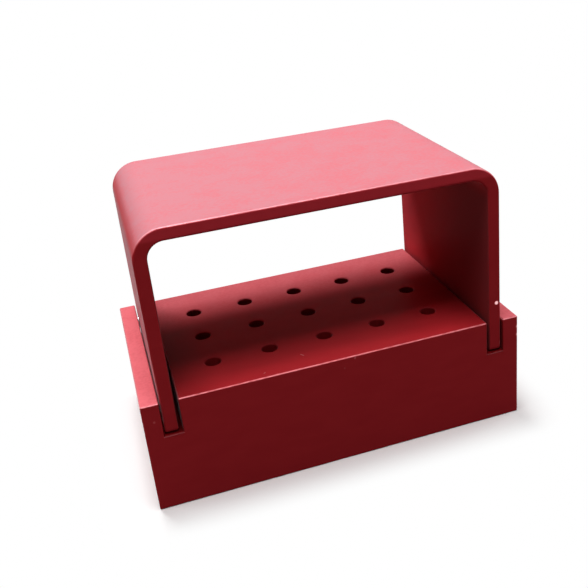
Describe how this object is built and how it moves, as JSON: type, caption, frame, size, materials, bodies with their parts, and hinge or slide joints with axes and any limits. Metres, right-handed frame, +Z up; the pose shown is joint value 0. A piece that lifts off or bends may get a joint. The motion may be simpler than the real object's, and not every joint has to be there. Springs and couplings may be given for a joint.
{
  "type": "dental bur block",
  "caption": "Low rectangular metal block with a grid of blind holes for dental burs, under an arched sheet-metal lid that swings back on two hinge pins.",
  "frame": {"origin": "on the bench, under the middle of the whole outline", "axes": "+X along the block, -Y is the front, +Z is up"},
  "size_m": [0.06, 0.0354, 0.0438],
  "materials": {
    "block_anodised": "satin red anodised, machined",
    "lid_anodised": "satin red anodised sheet",
    "pin_steel": "ground stainless pin"
  },
  "bodies": {
    "base": {"block": "block_anodised", "left_hinge_pin": "pin_steel", "right_hinge_pin": "pin_steel"},
    "cover": {"lid": "lid_anodised"}
  },
  "joints": [
    {"name": "lid_hinge", "type": "hinge", "parent": "base", "child": "cover", "pos_m": [0, 0.0146, 0.0156], "axis": [-1, 0, 0], "range_deg": [0, 90]}
  ]
}
